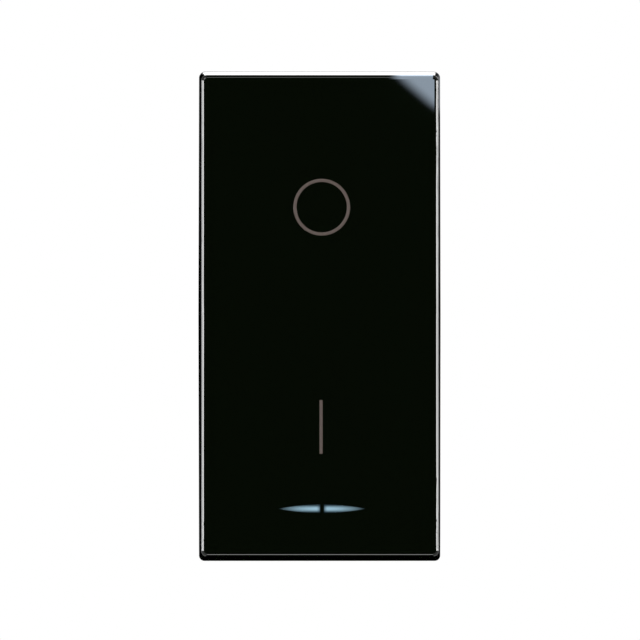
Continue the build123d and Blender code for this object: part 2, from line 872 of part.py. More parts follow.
print(f"Contact gap when open: {closed_gap + 2 * contact_arm * sin(closed):.2f} mm")
spring_room = tube_ceiling - plunger_head - plunger_travel
print(f"Room left for a spring when its plunger is pushed in: {spring_room:.2f} mm")
print(f"Turns of a terminal screw over its travel: {screw_travel / thread_pitch:.2f}")
print(f"Depth behind the seat: {-case_rear:.2f} mm")
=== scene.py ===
# %% [markdown]
# # Finishing a rocker switch module
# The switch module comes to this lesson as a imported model: every piece is a mesh of its real size, in
# metres, and already stands where it belongs. The lesson gives each piece its finish, prints the two
# marks on the key, and lights and frames the module like a catalogue picture: straight on, through a long
# lens, on plain white.

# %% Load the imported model
import json
from math import cos, degrees, pi, radians, sin

import bmesh
import bpy
from mathutils import Matrix, Vector


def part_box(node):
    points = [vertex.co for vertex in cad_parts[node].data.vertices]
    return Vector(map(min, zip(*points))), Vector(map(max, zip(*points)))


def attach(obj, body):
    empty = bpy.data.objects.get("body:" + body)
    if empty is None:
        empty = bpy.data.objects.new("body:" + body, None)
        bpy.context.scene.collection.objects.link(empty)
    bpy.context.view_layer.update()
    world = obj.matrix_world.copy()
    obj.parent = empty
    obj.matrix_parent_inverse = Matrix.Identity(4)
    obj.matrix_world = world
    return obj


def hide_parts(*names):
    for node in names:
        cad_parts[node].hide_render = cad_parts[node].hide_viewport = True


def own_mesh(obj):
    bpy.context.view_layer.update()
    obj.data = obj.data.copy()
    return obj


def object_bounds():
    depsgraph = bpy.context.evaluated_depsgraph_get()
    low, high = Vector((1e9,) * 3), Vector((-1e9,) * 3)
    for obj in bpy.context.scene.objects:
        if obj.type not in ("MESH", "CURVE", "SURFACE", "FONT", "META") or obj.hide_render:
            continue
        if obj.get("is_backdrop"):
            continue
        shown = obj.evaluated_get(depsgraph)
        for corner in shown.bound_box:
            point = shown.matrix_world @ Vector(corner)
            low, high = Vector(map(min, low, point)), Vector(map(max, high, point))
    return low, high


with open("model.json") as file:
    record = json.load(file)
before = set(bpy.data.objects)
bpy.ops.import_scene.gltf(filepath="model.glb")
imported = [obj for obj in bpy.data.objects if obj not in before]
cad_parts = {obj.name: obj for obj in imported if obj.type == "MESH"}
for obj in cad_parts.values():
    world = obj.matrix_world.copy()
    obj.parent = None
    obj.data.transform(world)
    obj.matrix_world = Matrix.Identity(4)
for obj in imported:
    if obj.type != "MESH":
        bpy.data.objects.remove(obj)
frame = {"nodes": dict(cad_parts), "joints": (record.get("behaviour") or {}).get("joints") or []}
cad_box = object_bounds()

mm = 0.001
size = (cad_box[1] - cad_box[0]) / mm
print(f"{len(frame['nodes'])} pieces, {size.x:.2f} x {size.y:.2f} x {size.z:.2f} mm")

# %% [markdown]
# ## Where the key is
# The key rocks on a hinge, and at rest it leans to one end of its travel. The marks, the light window and
# the camera all follow the key's face, so the lesson needs that face as a plane of its own. The packed
# joint says where the hinge is and how far the key turns. Half of that turn is the lean at rest, because
# the two rest positions mirror each other.

# %% Build the key's own frame
def joint_named(name):
    """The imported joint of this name."""
    return next(joint for joint in frame["joints"] if joint["name"] == name)


hinge = joint_named("rocker_hinge")
lean = radians(hinge["range_deg"][1]) / 2
across_key = Vector((1, 0, 0))
up_key = Vector((0, sin(lean), cos(lean)))
out_of_key = Vector((0, -cos(lean), sin(lean)))
pivot = Vector(hinge["pos_m"])


def level_of(point):
    """How far a point lies out of the hinge, square to the key's face."""
    return (point - pivot).dot(out_of_key)


cover = frame["nodes"]["key_cover"].data
face_level = max(level_of(vertex.co) for vertex in cover.vertices)
key_face = Matrix.Translation(pivot + out_of_key * face_level)
key_face @= Matrix((across_key, up_key, out_of_key)).transposed().to_4x4()
print(f"The key leans {degrees(lean):.1f} degrees, its face is {face_level / mm:.2f} mm out of the hinge")

# %% [markdown]
# ## The camera
# A catalogue picture hides perspective: the lens is long and the camera stands almost square to the face.
# It could be an orthographic camera, but a real lens at 0.9 m keeps the last trace of perspective that
# makes a picture look photographed. The key's lower wall shows a little more than its upper one, and the
# left one a little more than the right one, so the camera stands about a degree below the square and a
# bit to the left. The picture is a square of 640 pixels, and the width that it spans at the key sets the
# focal length.

# %% Set up the camera
sensor_width = 36
camera_distance = 900 * mm
camera_below = 0.88
camera_left = 0.39
nearest_seen = 0.01
farthest_seen = 10
picture_pixels = 640
picture_width = 58.3 * mm
pixel = picture_width / picture_pixels
key_middle_pixel = (320.05, 315.5)

shift_across = (picture_pixels / 2 - key_middle_pixel[0]) * pixel
shift_up = (key_middle_pixel[1] - picture_pixels / 2) * pixel
camera_data = bpy.data.cameras.new("long_lens")
camera_data.sensor_width = sensor_width
camera_data.lens = sensor_width * camera_distance / picture_width
camera_data.clip_start = nearest_seen
camera_data.clip_end = farthest_seen
camera = bpy.data.objects.new("camera", camera_data)
bpy.context.scene.collection.objects.link(camera)
swing = Matrix.Rotation(radians(camera_below), 4, "X") @ Matrix.Rotation(-radians(camera_left), 4, "Y")
camera.matrix_world = key_face @ swing @ Matrix.Translation((shift_across, shift_up, camera_distance))
bpy.context.scene.camera = camera
bpy.context.scene.view_settings.view_transform = "Standard"
eye = key_face.inverted() @ camera.matrix_world.translation
gaze = camera.matrix_world.to_3x3() @ Vector((0, 0, -1))
print(f"Focal length {camera_data.lens:.0f} mm, one pixel is {pixel / mm:.4f} mm on the key")

# %% [markdown]
# ## Helpers for colours, nodes and scales
# Colours are written as sRGB hex values, the way a paint chart gives them, and the renderer wants linear
# light, so one function converts them. A second one adds a node with its settings and its links in one
# statement, and a third lets a node drive one of the shader's inputs. The last two turn a real size into
# the scale of a pattern node: one for the grain of a noise, and one for the pitch of a wave, whose sine
# runs 20 times as fast as its coordinate.

# %% Convert colours
def linear(hex_colour):
    """An sRGB hex colour as linear red, green, blue and alpha."""
    channels = [int(hex_colour[start:start + 2], 16) / 255 for start in (1, 3, 5)]
    return [c / 12.92 if c <= 0.04045 else ((c + 0.055) / 1.055) ** 2.4 for c in channels] + [1.0]


print("A mid grey of #808080 is", round(linear("#808080")[0], 3), "in linear light")

# %% Add and link nodes
def result_of(node):
    """A node's first output that is in use."""
    return next(output for output in node.outputs if output.enabled)


def add(tree, kind, inputs=None, **settings):
    """Add a node. An input is a number, a colour, a socket, or a node whose result it takes."""
    node = tree.nodes.new("ShaderNode" + kind)
    for name, value in settings.items():
        setattr(node, name, value)
    for name, value in (inputs or {}).items():
        if isinstance(name, int):
            socket = node.inputs[name]
        else:
            socket = next(entry for entry in node.inputs if entry.name == name and entry.enabled)
        if isinstance(value, bpy.types.Node):
            value = result_of(value)
        if isinstance(value, bpy.types.NodeSocket):
            tree.links.new(value, socket)
        else:
            socket.default_value = value
    return node


def drive(shader, name, node):
    """Let a node's result drive one of the shader's inputs."""
    shader.id_data.links.new(result_of(node), shader.inputs[name])


# %% Turn real sizes into scales
wave_speed = 20


def per_metre(grain_mm):
    """The scale of a noise whose grains are this many millimetres wide."""
    return 1 / (grain_mm * mm)


def waves_per_metre(pitch_mm):
    """The scale of a wave whose crests are this many millimetres apart."""
    return per_metre(pitch_mm) * 2 * pi / wave_speed


print(f"For 1 mm, a noise has a scale of {per_metre(1):.0f} and a wave of {waves_per_metre(1):.0f}")

# %% [markdown]
# ## The surroundings
# A glossy black key is mostly its surroundings: its flat face mirrors the camera's side of the room, its
# rounded edges and its walls mirror everything else. Real cards and flags would do, but a world painted
# by direction is free of noise and easy to aim. Only mirrors see the painting: the camera sees plain
# white, and surfaces are lit by an even grey. To aim the cards, the lesson first works out where the
# walls and the face send the camera's view.

# %% Find what the walls and the face mirror
nearly_towards = 0.98
leaning_forward = 0.01


def mirrored_by(towards):
    """Where the camera's view goes after the key's outer wall that faces this way."""
    drafted = [face for face in cover.polygons if face.normal.dot(out_of_key) > leaning_forward]
    walls = [face for face in drafted if face.normal.dot(towards) > nearly_towards]
    normal = max(walls, key=lambda face: face.area).normal
    return gaze - 2 * gaze.dot(normal) * normal


def mirrored_at(across, up):
    """Where the camera's view goes after a place on the face, given in millimetres from its middle."""
    view = Vector((across * mm, up * mm, 0)) - eye
    return (across_key * view.x + up_key * view.y - out_of_key * view.z).normalized()


above = mirrored_by(up_key)
beside = mirrored_by(across_key)
for wall_name, mirror_view in (("top", above), ("side", beside)):
    off_back = degrees(mirror_view.angle(-out_of_key))
    print(f"The {wall_name} wall looks {off_back:.1f} degrees off straight back")

# %% Start the world
world = bpy.data.worlds.new("studio")
bpy.context.scene.world = world
world.use_nodes = True
sky = world.node_tree
sky.nodes.clear()
direction = add(sky, "TexCoord").outputs["Generated"]
print(f"The world is called {world.name}")

# %% Brushes for the world
strip_half_height = 0.05
strip_softness = 1


def share_of(axis):
    """How much of the direction points along an axis: the cosine of the angle between them."""
    return add(sky, "VectorMath", {0: direction, 1: axis}, operation="DOT_PRODUCT")


def both(first, second, *others):
    """Where all of these masks overlap."""
    product = add(sky, "Math", {0: first, 1: second}, operation="MULTIPLY")
    return both(product, *others) if others else product


def around(centre, full, none):
    """One at one angle from a direction, nothing at another, in degrees, and a soft edge in between."""
    edge = {"Value": share_of(centre), "From Min": cos(radians(none)), "From Max": cos(radians(full))}
    return add(sky, "MapRange", edge, interpolation_type="SMOOTHSTEP")


def band(axis, full, none):
    """One in a flat band square to an axis, nothing farther along it, and a soft edge in between."""
    off_middle = add(sky, "Math", {0: share_of(axis)}, operation="ABSOLUTE")
    edge = {"Value": off_middle, "From Min": none, "From Max": full}
    return add(sky, "MapRange", edge, interpolation_type="SMOOTHSTEP")


def strip(nearest, farthest):
    """One in a long low strip at each side, between two angles from the camera, in degrees."""
    near_enough = around(out_of_key, full=farthest, none=farthest + strip_softness)
    far_enough = around(out_of_key, full=nearest, none=nearest - strip_softness)
    return both(near_enough, far_enough, band(up_key, strip_half_height, 2 * strip_half_height))


print(f"A strip at the side ends {degrees(2 * strip_half_height):.1f} degrees up and down")

# %% [markdown]
# ## The card in the corner
# The upper right corner of the face mirrors a pale card with a slanted edge. A face this flat sees only a
# few degrees of the room, so the card is aimed through the mirror: three places on the face, in
# millimetres from its middle, say where its slanted edge, its left end and its lower end have to show.
# The card ends just past what the face sees, because the rounded edge would mirror the rest of it as a
# blue line, and it stops short of straight behind, which the walls mirror.

# %% Mask the card in the corner
slanted_edge_place = (9.01, 20.32)
left_end_place = (6.9, 21.9)
lower_end_place = (11.0, 18.68)
slant_turn = radians(49.5)
edge_softness = 0.00075
right_end = (0.025, 0.03)


def beyond(axis, place):
    """One where the direction lies farther along an axis than what the face mirrors at a place."""
    limit = mirrored_at(*place).dot(axis)
    edge = {"Value": share_of(axis), "From Min": limit - edge_softness, "From Max": limit + edge_softness}
    return add(sky, "MapRange", edge, interpolation_type="SMOOTHSTEP")


slant = across_key * cos(slant_turn) + up_key * sin(slant_turn)
corner = both(beyond(across_key, left_end_place), beyond(up_key, lower_end_place))
corner_card = both(
    corner,
    beyond(slant, slanted_edge_place),
    band(across_key, *right_end),
    around(out_of_key, full=150, none=155),
)
print(f"The card's edge is {degrees(2 * edge_softness):.2f} degrees soft")

# %% [markdown]
# ## The rest of the studio
# Each layer is painted over the ones before it. A dark slot runs over and under the module, and a dark
# screen stands about the camera, so that the face looks black. Two bright strips at each side draw the
# light line inside the outline. A card below and one above draw the thin lines along the ends of the
# face. Straight behind is black, apart from two things that the walls mirror: a faint trace of the corner
# card for the right wall, and a white bar for the top wall.

# %% Mask the other cards
slot_half_width = 0.07
bar_half_width = 0.035


def in_key_plane(angle):
    """A direction in the key's upright middle plane, this many degrees up from the camera's side."""
    return out_of_key * cos(radians(angle)) + up_key * sin(radians(angle))


dark_slot = band(across_key, slot_half_width, 2 * slot_half_width)
dark_screen = around(out_of_key, full=32, none=62)
front_strips = strip(nearest=54.5, farthest=79)
side_strips = strip(nearest=93, farthest=118)
low_card = around(in_key_plane(-75), full=6.5, none=8)
high_card = around(in_key_plane(54), full=5, none=6)
black_back = around(-out_of_key, full=13, none=16)
corner_trace = both(corner, around(-out_of_key, full=7, none=8))
bar_width = band(across_key, bar_half_width, 1.5 * bar_half_width)
white_bar = both(around(above, full=3, none=9), bar_width)
print(f"The bar for the top wall is {degrees(2 * bar_half_width):.1f} degrees wide")

# %% Paint the studio that mirrors see
room_low = 0.5
room_high = 0.25
horizon = 0.4
white = "#FFFFFF"

heights = {"Value": share_of(Vector((0, 0, 1))), "From Min": -horizon, "From Max": horizon}
heights |= {"To Min": room_low, "To Max": room_high}
studio = add(sky, "MapRange", heights, interpolation_type="SMOOTHSTEP")
for mask, radiance, colour in (
    (dark_slot, 0.0, white),
    (dark_screen, 0.008, white),
    (front_strips, 15.0, white),
    (side_strips, 11.0, white),
    (low_card, 4.8, white),
    (high_card, 2.3, white),
    (black_back, 0.0, white),
    (corner_trace, 0.207, "#F0F6FF"),
    (corner_card, 7.0, "#D8EBFF"),
    (white_bar, 1.9, white),
):
    light = [radiance * channel for channel in linear(colour)]
    studio = add(sky, "Mix", {"Factor": mask, "A": studio, "B": light}, data_type="RGBA")
print(f"The studio is painted with {len(sky.nodes)} nodes")

# %% Choose what each kind of ray sees
even_light = 0.65
ray = add(sky, "LightPath")
mirrors = {0: ray.outputs["Is Glossy Ray"], 1: ray.outputs["Is Transmission Ray"]}
mirrored = add(sky, "Math", mirrors, operation="MAXIMUM")
room = add(sky, "Mix", {"Factor": mirrored, "A": [even_light] * 4, "B": studio}, data_type="RGBA")
from_camera = {"Factor": ray.outputs["Is Camera Ray"], "A": room, "B": linear(white)}
seen = add(sky, "Mix", from_camera, data_type="RGBA")
add(sky, "OutputWorld", {"Surface": add(sky, "Background", {"Color": seen})})
print(f"The world has {len(sky.nodes)} nodes")

# %% [markdown]
# ## The lamps
# Two large soft lamps shape the body: one upper left in front, one upper right behind. They are real
# lamps and not part of the painted world, because they have to light rough surfaces and cast soft
# shadows.

# %% Place the lamps
lamp_side = 0.5
lamp_distance = 0.8


def add_soft_lamp(name, towards, radiance):
    """A square lamp that stands this way from the module and faces it. Radiance is how bright it looks."""
    position = towards.normalized() * lamp_distance
    lamp_data = bpy.data.lights.new(name, "AREA")
    lamp_data.size = lamp_side
    lamp_data.energy = radiance * pi * lamp_side ** 2
    lamp = bpy.data.objects.new(name, lamp_data)
    bpy.context.scene.collection.objects.link(lamp)
    lamp.matrix_world = Matrix.Translation(position) @ position.to_track_quat("Z", "Y").to_matrix().to_4x4()
    lamp.visible_camera = False
    print(f"{name}: {lamp_data.energy:.2f} W, {position.length:.2f} m away")


add_soft_lamp("soft_front", Vector((-0.55, -0.65, 0.62)), radiance=2.8)
add_soft_lamp("soft_rear", Vector((0.6, 0.6, 0.5)), radiance=1.7)

# %% [markdown]
# ## The floor
# The module hangs where its mount would hold it, a little above a pale round floor. The floor catches a
# soft shadow. The camera sees it slightly lifted, so that it runs into the white background without an
# edge, and from below it is clear, so that the underside can be looked at. Mirrors don't see it: they see
# the painted studio.

# %% Cut the floor
floor_level = -60 * mm
floor_radius = 0.30
floor_sides = 96
floor_mesh = bpy.data.meshes.new("floor")
disc = bmesh.new()
bmesh.ops.create_circle(disc, cap_ends=True, radius=floor_radius, segments=floor_sides)
disc.to_mesh(floor_mesh)
disc.free()
floor = bpy.data.objects.new("floor", floor_mesh)
bpy.context.scene.collection.objects.link(floor)
floor.location.z = floor_level
floor.visible_glossy = False
floor.visible_transmission = False
print(f"Floor {-floor_level / mm:.0f} mm below the module's middle, {2 * floor_radius:.2f} m across")

# %% Paint the floor
floor_lift = 0.45
paint = bpy.data.materials.new("floor_matt_white")
paint.use_nodes = True
tree = paint.node_tree
tree.nodes.clear()
matt = add(tree, "BsdfDiffuse", {"Color": linear("#E6E6E4")})
lift = add(tree, "Emission", {"Strength": floor_lift})
lifted = add(tree, "AddShader", {0: matt, 1: lift})
to_camera = add(tree, "LightPath").outputs["Is Camera Ray"]
top_side = add(tree, "MixShader", {0: to_camera, 1: matt, 2: lifted})
clear = add(tree, "BsdfTransparent")
from_below = add(tree, "NewGeometry").outputs["Backfacing"]
add(tree, "OutputMaterial", {"Surface": add(tree, "MixShader", {0: from_below, 1: top_side, 2: clear})})
floor_mesh.materials.append(paint)
floor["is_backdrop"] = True
print(f"{paint.name}: {len(tree.nodes)} nodes")

# %% [markdown]
# ## A material to start from
# Every finish starts as a Principled shader with the typical numbers of its material, and with the
# piece's own coordinates at hand. Those coordinates move with the piece, so a grain stays put when the
# key rocks.

# %% Start and hand out materials
def start_material(name, colour, roughness, **sockets):
    """A new material: its node tree, its shader and the piece's own coordinates."""
    material = bpy.data.materials.new(name)
    material.use_nodes = True
    tree = material.node_tree
    tree.nodes.clear()
    shader = add(tree, "BsdfPrincipled", {"Base Color": linear(colour), "Roughness": roughness})
    for socket, value in sockets.items():
        shader.inputs[socket.replace("_", " ")].default_value = value
    add(tree, "OutputMaterial", {"Surface": shader})
    return material, tree, shader, add(tree, "TexCoord").outputs["Object"]


dressed = set()


def dress(material, slot, *names):
    """Give a material to every node whose name starts with one of these names."""
    found = [name for name in frame["nodes"] if name.startswith(names)]
    for name in found:
        frame["nodes"][name].material_slots[0].material = material
    dressed.update(found)
    print(f"{material.name}: {len(found)} pieces")


# %% [markdown]
# ## The key: polished polycarbonate
# The key is moulded from black polycarbonate in a mirror-polished tool. The eye gets a nearly black,
# slightly warm-green ground and sharp reflections. No moulding is perfectly even, so the roughness drifts
# by a hair over several millimetres, and a few wipe marks run across it, too faint to see where the key
# mirrors the dark. They could be scratches in the bump, but at this gloss a wipe mark changes the sheen
# and not the shape.

# %% Polish the key
drift_grain = 9
wipe_width = 0.35
wipe_stretch = 0.03
wipe_turn = radians(62)
material, tree, shader, place = start_material("polished_black_polycarbonate", "#050A03", 0.006, IOR=1.585)
drift = add(tree, "TexNoise", {"Vector": place, "Scale": per_metre(drift_grain), "Detail": 1.0})
wiped_along = {"Vector": place, "Rotation": (0, wipe_turn, 0), "Scale": (wipe_stretch, 1, 1)}
stretched = add(tree, "Mapping", wiped_along)
wipe = add(tree, "TexNoise", {"Vector": stretched, "Scale": per_metre(wipe_width), "Detail": 1.0})
drifted = add(tree, "MapRange", {"Value": drift, "To Min": 0.005, "To Max": 0.007})
wiped = add(tree, "MapRange", {"Value": wipe, "From Min": 0.62, "From Max": 0.8, "To Max": 0.002})
drive(shader, "Roughness", add(tree, "Math", {0: drifted, 1: wiped}, operation="ADD"))
dress(material, "key_gloss", "key_cover")

# %% [markdown]
# ## The light guide: smoked acrylic
# An acrylic prism carries the lamp's light into two slits in the key. It is smoked, so that the slits
# look black while the lamp is off. Real light would have to find its way from the lamp through the stem,
# which costs many samples for two small slits. The face of the guide glows by itself instead, fading to
# the tips, to both long edges and to the bridge in the middle.

# %% Measure the light window
face_tolerance = 0.01 * mm
guide = frame["nodes"]["light_guide"].data
guide_face = max(level_of(vertex.co) for vertex in guide.vertices)
front_points = [vertex.co for vertex in guide.vertices if level_of(vertex.co) > guide_face - face_tolerance]
window_up = [point.dot(up_key) for point in front_points]
window_middle = (min(window_up) + max(window_up)) / 2
window_half_height = (max(window_up) - min(window_up)) / 2
window_across = [point.x for point in front_points]
window_centre = (min(window_across) + max(window_across)) / 2
window_half_length = (max(window_across) - min(window_across)) / 2
print(f"Window {2 * window_half_length / mm:.2f} x {2 * window_half_height / mm:.2f} mm")

# %% Start the acrylic
glow_strength = 0.6
material, tree, shader, place = start_material(
    "smoked_acrylic", "#6E7F86", 0.08, IOR=1.49, Transmission_Weight=1.0, Emission_Strength=glow_strength
)


def along(axis, offset):
    """A point's distance from a place on the key, along one of the key's directions."""
    reach = add(tree, "VectorMath", {0: place, 1: axis}, operation="DOT_PRODUCT")
    return add(tree, "Math", {0: reach, 1: offset}, operation="SUBTRACT")


def falling(distance, limit, power):
    """One at no distance, nothing at the limit, and round in between."""
    share = add(tree, "Math", {0: distance, 1: limit}, operation="DIVIDE")
    square = add(tree, "Math", {0: share, 1: share}, operation="MULTIPLY")
    rest = add(tree, "Math", {0: 1.0, 1: square}, operation="SUBTRACT", use_clamp=True)
    return add(tree, "Math", {0: rest, 1: power}, operation="POWER")


print(f"{material.name} glows with a strength of {glow_strength}")

# %% Let the guide glow
glow_depth = 0.05 * mm
bridge_edge = 0.05 * mm
bridge_fade = 0.53 * mm
tip_fade = 1.25
edge_fade = 2.3
from_bridge = along(across_key, window_centre)
to_tips = falling(from_bridge, window_half_length, tip_fade)
to_edges = falling(along(up_key, window_middle), window_half_height, edge_fade)
depth = along(out_of_key, pivot.dot(out_of_key) + guide_face - glow_depth)
into_face = {"Value": depth, "From Min": 0.0, "From Max": glow_depth}
glow = add(tree, "MapRange", into_face, interpolation_type="SMOOTHSTEP")
off_bridge = add(tree, "Math", {0: from_bridge}, operation="ABSOLUTE")
shade = {"Value": off_bridge, "From Min": bridge_edge, "From Max": bridge_fade}
beside_bridge = add(tree, "MapRange", shade, interpolation_type="SMOOTHSTEP")
for share in (to_tips, to_edges, beside_bridge):
    glow = add(tree, "Math", {0: glow, 1: share}, operation="MULTIPLY")
lit = add(tree, "Mix", {"Factor": glow, "A": linear("#000000"), "B": linear("#BEEAFF")}, data_type="RGBA")
drive(shader, "Emission Color", lit)
dress(material, "guide_clear", "light_guide")

# %% [markdown]
# ## The collar: spark-eroded polycarbonate
# The collar is the same black polycarbonate, but from a tool with a spark-eroded texture, so it is satin.
# The real grain is about 0.1 mm across, the size of a pixel here, so it is drawn at 0.25 mm. To model
# it would take millions of faces, so a noise in the bump stands in for it.

# %% Texture the collar
erosion_grain = 0.25
sheen_grain = 5
material, tree, shader, place = start_material(
    "spark_eroded_black_polycarbonate", "#17181A", 0.42, IOR=1.585
)
grain = add(tree, "TexNoise", {"Vector": place, "Scale": per_metre(erosion_grain), "Detail": 3.0})
sheen_drift = add(tree, "TexNoise", {"Vector": place, "Scale": per_metre(sheen_grain)})
drive(shader, "Roughness", add(tree, "MapRange", {"Value": sheen_drift, "To Min": 0.36, "To Max": 0.48}))
drive(shader, "Normal", add(tree, "Bump", {"Height": grain, "Strength": 0.8, "Distance": 0.012 * mm}))
dress(material, "collar_black", "front_collar")

# %% [markdown]
# ## The housing: moulded thermoset
# The housing must not creep or track, so it is a light grey glass-filled thermoset. Short fibres near the
# skin mottle it a little, and the surface has a fine, dry texture. Each fibre could be drawn, but all
# that shows of them is a cloudy tone, and one soft noise gives that.

# %% Mottle the housing
fibre_mottle = 2.2
dry_grain = 0.3
material, tree, shader, place = start_material("moulded_grey_thermoset", "#BFC2BF", 0.55, IOR=1.53)
fibres = {"Vector": place, "Scale": per_metre(fibre_mottle), "Detail": 3.0, "Roughness": 0.6}
tone = add(tree, "MapRange", {"Value": add(tree, "TexNoise", fibres), "From Min": 0.3, "From Max": 0.7})
greys = {"Factor": tone, "A": linear("#B9BCB9"), "B": linear("#C5C8C4")}
grain = add(tree, "TexNoise", {"Vector": place, "Scale": per_metre(dry_grain), "Detail": 3.0})
drive(shader, "Base Color", add(tree, "Mix", greys, data_type="RGBA"))
drive(shader, "Normal", add(tree, "Bump", {"Height": grain, "Strength": 0.7, "Distance": 0.012 * mm}))
dress(material, "case_grey", "housing")

# %% [markdown]
# ## The inner plastics
# The carrier and the lamp's tray are moulded from white acetal, a waxy, self-lubricating plastic. It is
# an off-white with a soft sheen that drifts a little. The plungers are turned from red-brown nylon, and
# the lathe leaves fine rings round them. Their pitch is its feed, drawn coarse enough to show.
# The rings could be cut into the mesh, but as a wave in the bump they need no faces of their own.

# %% Mould the acetal
waxy_grain = 3
material, tree, shader, place = start_material("moulded_white_acetal", "#E6E5DF", 0.38, IOR=1.48)
waxy = add(tree, "TexNoise", {"Vector": place, "Scale": per_metre(waxy_grain), "Detail": 2.0})
drive(shader, "Roughness", add(tree, "MapRange", {"Value": waxy, "To Min": 0.32, "To Max": 0.44}))
dress(material, "carrier_white", "rocker_carrier", "lamp_holder")

# %% Turn the plungers
turning_feed = 0.18
material, tree, shader, place = start_material("turned_red_nylon", "#7E3325", 0.36, IOR=1.53)
rings = add(tree, "TexWave", {"Vector": place, "Scale": waves_per_metre(turning_feed)}, bands_direction="Y")
drive(shader, "Normal", add(tree, "Bump", {"Height": rings, "Strength": 0.5, "Distance": 0.01 * mm}))
dress(material, "plunger_nylon", "plunger_left", "plunger_right")

# %% [markdown]
# ## The metals
# Springs are drawn wire, strips and levers are stamped from rolled sheet, and the cages, plates and
# screws are zinc-plated steel. Each process leaves its own trace: drawing leaves short scores on the
# wire, rolling leaves streaks along the sheet, plating leaves a soft crystalline mottle, and a lathe
# leaves rings on the heads of the screws. Down in the slot and the cross of a head the colour is painted
# darker than the face, as painted shade for the recess. Each trace could be a picture wrapped round the
# piece, but a pattern that is worked out from the piece's own coordinates needs no unwrapping, and its
# grain is even all over.

# %% Draw the spring wire
wire_score = 0.2
material, tree, shader, place = start_material("drawn_spring_wire", "#B9B7B0", 0.28, Metallic=1.0)
scores = add(tree, "TexNoise", {"Vector": place, "Scale": per_metre(wire_score), "Detail": 2.0})
drive(shader, "Roughness", add(tree, "MapRange", {"Value": scores, "To Min": 0.2, "To Max": 0.36}))
dress(material, "spring_steel", "plunger_spring_", "lamp_lead_")

# %% Roll the strips and the levers
rolling_streak = 0.15
streak_stretch = 0.04
stain_grain = 2.5
for name, colour, worn, pieces in (
    ("rolled_brass", "#D9B667", "#C29B52", ("line_strip_", "load_strip_")),
    ("rolled_bronze", "#C98F5E", "#B27A4C", ("contact_lever_",)),
):
    material, tree, shader, place = start_material(name, colour, 0.3, Metallic=1.0)
    rolled = add(tree, "Mapping", {"Vector": place, "Scale": (1, 1, streak_stretch)})
    streak = add(tree, "TexNoise", {"Vector": rolled, "Scale": per_metre(rolling_streak), "Detail": 2.0})
    stain = add(tree, "TexNoise", {"Vector": place, "Scale": per_metre(stain_grain), "Detail": 2.0})
    stained = add(tree, "Mix", {"Factor": stain, "A": linear(colour), "B": linear(worn)}, data_type="RGBA")
    drive(shader, "Base Color", stained)
    drive(shader, "Roughness", add(tree, "MapRange", {"Value": streak, "To Min": 0.22, "To Max": 0.42}))
    dress(material, "copper_alloy", *pieces)

# %% Press the silver contacts
tarnish_grain = 0.8
material, tree, shader, place = start_material("pressed_silver", "#DAD8D2", 0.22, Metallic=1.0)
tarnish = add(tree, "TexNoise", {"Vector": place, "Scale": per_metre(tarnish_grain), "Detail": 3.0})
drive(shader, "Roughness", add(tree, "MapRange", {"Value": tarnish, "To Min": 0.15, "To Max": 0.34}))
dress(material, "contact_silver", "moving_contact_", "fixed_contact_")

# %% Plate the cages and the plates
crystal_grain = 0.5
tint_grain = 1.6
material, tree, shader, place = start_material("zinc_plated_steel", "#C3C7CB", 0.34, Metallic=1.0)
crystals = add(tree, "TexNoise", {"Vector": place, "Scale": per_metre(crystal_grain), "Detail": 3.0})
tint = add(tree, "TexNoise", {"Vector": place, "Scale": per_metre(tint_grain)})
tints = {"Factor": tint, "A": linear("#BDC3CB"), "B": linear("#CDCCC6")}
drive(shader, "Base Color", add(tree, "Mix", tints, data_type="RGBA"))
drive(shader, "Roughness", add(tree, "MapRange", {"Value": crystals, "To Min": 0.26, "To Max": 0.44}))
dress(material, "zinc_steel", "terminal_cage_", "pressure_plate_")

# %% Find the middle of every screw head
screw_low, screw_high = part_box("terminal_screw_upper_right")
screw_axis = (screw_low + screw_high) / 2
material, tree, shader, place = start_material("turned_zinc_plated_steel", "#C6C9CC", 0.3, Metallic=1.0)
folded = add(tree, "VectorMath", {0: place}, operation="ABSOLUTE")
centred = add(tree, "VectorMath", {0: folded, 1: (screw_axis.x, 0, screw_axis.z)}, operation="SUBTRACT")
print(f"The screws are {screw_axis.x / mm:.2f} mm to each side and {screw_axis.z / mm:.2f} mm up and down")

# %% Turn the screw heads
head_ring = 0.3
recess_depth = 0.8 * mm
face_depth = 0.1 * mm
rings = add(
    tree,
    "TexWave",
    {"Vector": centred, "Scale": waves_per_metre(head_ring), "Distortion": 0.3},
    wave_type="RINGS",
    rings_direction="Y",
)
# Painted shade: the colour darkens from the head's face down into the slot and the cross.
behind = add(tree, "SeparateXYZ", {"Vector": place}).outputs["Y"]
recess = {"Value": behind, "From Min": screw_high.y - recess_depth, "From Max": screw_high.y - face_depth}
out_of_painted_shade = add(tree, "MapRange", recess)
painted_recess_shades = {"Factor": out_of_painted_shade, "A": linear("#7C7F82"), "B": linear("#C6C9CC")}
drive(shader, "Base Color", add(tree, "Mix", painted_recess_shades, data_type="RGBA"))
drive(shader, "Roughness", add(tree, "MapRange", {"Value": rings, "To Min": 0.24, "To Max": 0.36}))
drive(shader, "Normal", add(tree, "Bump", {"Height": rings, "Strength": 0.5, "Distance": 0.012 * mm}))
dress(material, "zinc_steel", "terminal_screw_")

# %% [markdown]
# ## The lamp unit
# A small board carries a light-emitting diode and its resistor. The board is green solder mask over woven
# glass, whose weave shows through as a fine relief. The diode is cast in clear epoxy and glows faintly
# and unevenly, and the resistor is a smooth black glaze between two tinned ends. The weave could be
# modelled thread by thread, but two crossed waves give the same relief.

